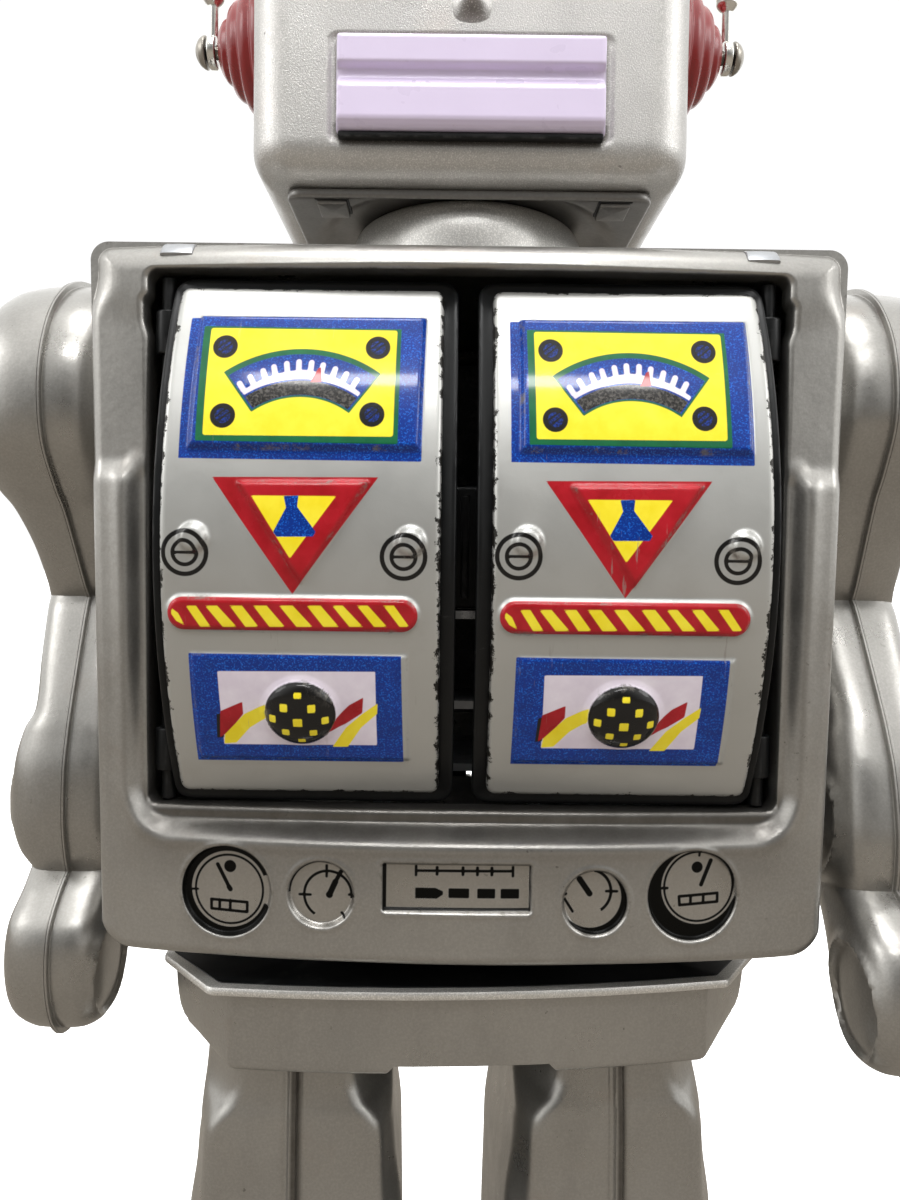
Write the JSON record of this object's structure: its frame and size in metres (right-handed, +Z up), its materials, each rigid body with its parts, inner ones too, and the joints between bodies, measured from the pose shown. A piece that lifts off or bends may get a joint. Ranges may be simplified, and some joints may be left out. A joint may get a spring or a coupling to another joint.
{
  "type": "toy robot",
  "caption": "Tin walking robot with boxy head, red stepped ears, turning torso, two bowed chest doors hiding guns, lobed arms and roller feet.",
  "frame": {"origin": "on the floor under the turning axis of the torso", "axes": "+Z up, -Y the way the face looks, +X to the right for someone looking at the face"},
  "size_m": [0.1538, 0.0931, 0.3002],
  "materials": {
    "silver_paint": "semi-gloss, worn",
    "bright_paint": "gloss, chipped at edges",
    "head_paint": "fine pitted grain",
    "black_plastic": "scuffed satin",
    "red_plastic": "gloss, faded",
    "pale_plastic": "gloss",
    "amber_lens": "clear gloss",
    "nickel": "plated, tarnished",
    "steel": "brushed",
    "zinc": "dull",
    "cell_wrap": "printed wrap",
    "rubber": "matt"
  },
  "bodies": {
    "hips": {"hip_block": "silver_paint", "hip_rim": "bright_paint", "waist_bearing": "black_plastic", "leg_shaft": "steel"},
    "torso": {"chest_casing": "silver_paint", "chest_front": "silver_paint", "waist_shaft": "steel", "hinge_rod_left": "black_plastic", "hinge_rod_right": "black_plastic", "gun_guide": "steel", "gearbox_frame": "zinc", "motor": "steel", "battery_tray": "black_plastic", "battery_cell_lower": "cell_wrap", "battery_cell_upper": "cell_wrap", "switch_plate": "nickel", "neck_collar": "bright_paint", "head_shell": "head_paint", "head_base": "silver_paint", "mouth": "pale_plastic", "nose": "head_paint", "eye_bezel_left": "nickel", "eye_bezel_right": "nickel", "eye_lens_left": "amber_lens", "eye_lens_right": "amber_lens", "ear_left": "red_plastic", "ear_right": "red_plastic", "ear_rivet_left": "nickel", "ear_rivet_right": "nickel"},
    "left_door": {"door_cover_left": "bright_paint", "door_liner_left": "black_plastic"},
    "right_door": {"door_cover_right": "bright_paint", "door_liner_right": "black_plastic"},
    "guns": {"gun_block": "black_plastic", "gun_barrel_left": "nickel", "gun_barrel_right": "nickel"},
    "left_arm": {"arm_outer_left": "silver_paint", "arm_inner_left": "silver_paint", "shoulder_axle_left": "steel"},
    "right_arm": {"arm_outer_right": "silver_paint", "arm_inner_right": "silver_paint", "shoulder_axle_right": "steel"},
    "left_leg": {"leg_shell_left": "silver_paint", "foot_shell_left": "silver_paint", "sole_plate_left": "steel"},
    "right_leg": {"leg_shell_right": "silver_paint", "foot_shell_right": "silver_paint", "sole_plate_right": "steel"},
    "battery_cover": {"battery_door": "silver_paint", "battery_latch": "nickel"},
    "switch": {"switch_lever": "black_plastic"},
    "left_antenna": {"antenna_left": "nickel"},
    "right_antenna": {"antenna_right": "nickel"},
    "front_left_roller": {"roller_front_left": "rubber"},
    "rear_left_roller": {"roller_rear_left": "rubber"},
    "front_right_roller": {"roller_front_right": "rubber"},
    "rear_right_roller": {"roller_rear_right": "rubber"}
  },
  "joints": [
    {"name": "torso_turn", "type": "hinge", "parent": "hips", "child": "torso", "pos_m": [0, 0, 0.105], "axis": [0, 0, 1], "continuous": true},
    {"name": "left_door_swing", "type": "hinge", "parent": "torso", "child": "left_door", "pos_m": [-0.0416, -0.0285, 0.166], "axis": [0, 0, -1], "range_deg": [0, 66]},
    {"name": "right_door_swing", "type": "hinge", "parent": "torso", "child": "right_door", "pos_m": [0.0416, -0.0285, 0.166], "axis": [0, 0, 1], "range_deg": [0, 66]},
    {"name": "gun_recoil", "type": "slide", "parent": "torso", "child": "guns", "axis": [0, 1, 0], "range_m": [0, 0.003]},
    {"name": "left_shoulder_turn", "type": "hinge", "parent": "torso", "child": "left_arm", "pos_m": [-0.052, 0, 0.19], "axis": [1, 0, 0], "continuous": true},
    {"name": "right_shoulder_turn", "type": "hinge", "parent": "torso", "child": "right_arm", "pos_m": [0.052, 0, 0.19], "axis": [1, 0, 0], "continuous": true},
    {"name": "left_leg_step", "type": "hinge", "parent": "hips", "child": "left_leg", "pos_m": [-0.02595, -0.00159, 0.097], "axis": [0.9981, 0.061, 0], "range_deg": [-5, 5]},
    {"name": "right_leg_step", "type": "hinge", "parent": "hips", "child": "right_leg", "pos_m": [0.02336, 0.00143, 0.097], "axis": [0.9981, 0.061, 0], "range_deg": [-5, 5]},
    {"name": "front_left_roller_spin", "type": "hinge", "parent": "left_leg", "child": "front_left_roller", "pos_m": [-0.02424, -0.02953, 0.00392], "axis": [0.9981, 0.061, 0], "continuous": true},
    {"name": "rear_left_roller_spin", "type": "hinge", "parent": "left_leg", "child": "rear_left_roller", "pos_m": [-0.02766, 0.02636, 0.00392], "axis": [0.9981, 0.061, 0], "continuous": true},
    {"name": "front_right_roller_spin", "type": "hinge", "parent": "right_leg", "child": "front_right_roller", "pos_m": [0.02507, -0.02652, 0.00392], "axis": [0.9981, 0.061, 0], "continuous": true},
    {"name": "rear_right_roller_spin", "type": "hinge", "parent": "right_leg", "child": "rear_right_roller", "pos_m": [0.02165, 0.02938, 0.00392], "axis": [0.9981, 0.061, 0], "continuous": true},
    {"name": "battery_cover_open", "type": "hinge", "parent": "torso", "child": "battery_cover", "pos_m": [0, 0.0316, 0.1336], "axis": [-1, 0, 0], "range_deg": [0, 110]},
    {"name": "switch_slide", "type": "slide", "parent": "torso", "child": "switch", "axis": [1, 0, 0], "range_m": [-0.003, 0.003]},
    {"name": "left_antenna_tilt", "type": "hinge", "parent": "torso", "child": "left_antenna", "pos_m": [-0.0431, 0, 0.249], "axis": [1, 0, 0], "range_deg": [-40, 40]},
    {"name": "right_antenna_tilt", "type": "hinge", "parent": "torso", "child": "right_antenna", "pos_m": [0.0431, 0, 0.249], "axis": [1, 0, 0], "range_deg": [-40, 40]}
  ],
  "couplings": [
    {"joint": "right_door_swing", "follows": "left_door_swing", "ratio": 1},
    {"joint": "right_leg_step", "follows": "left_leg_step", "ratio": -1}
  ]
}
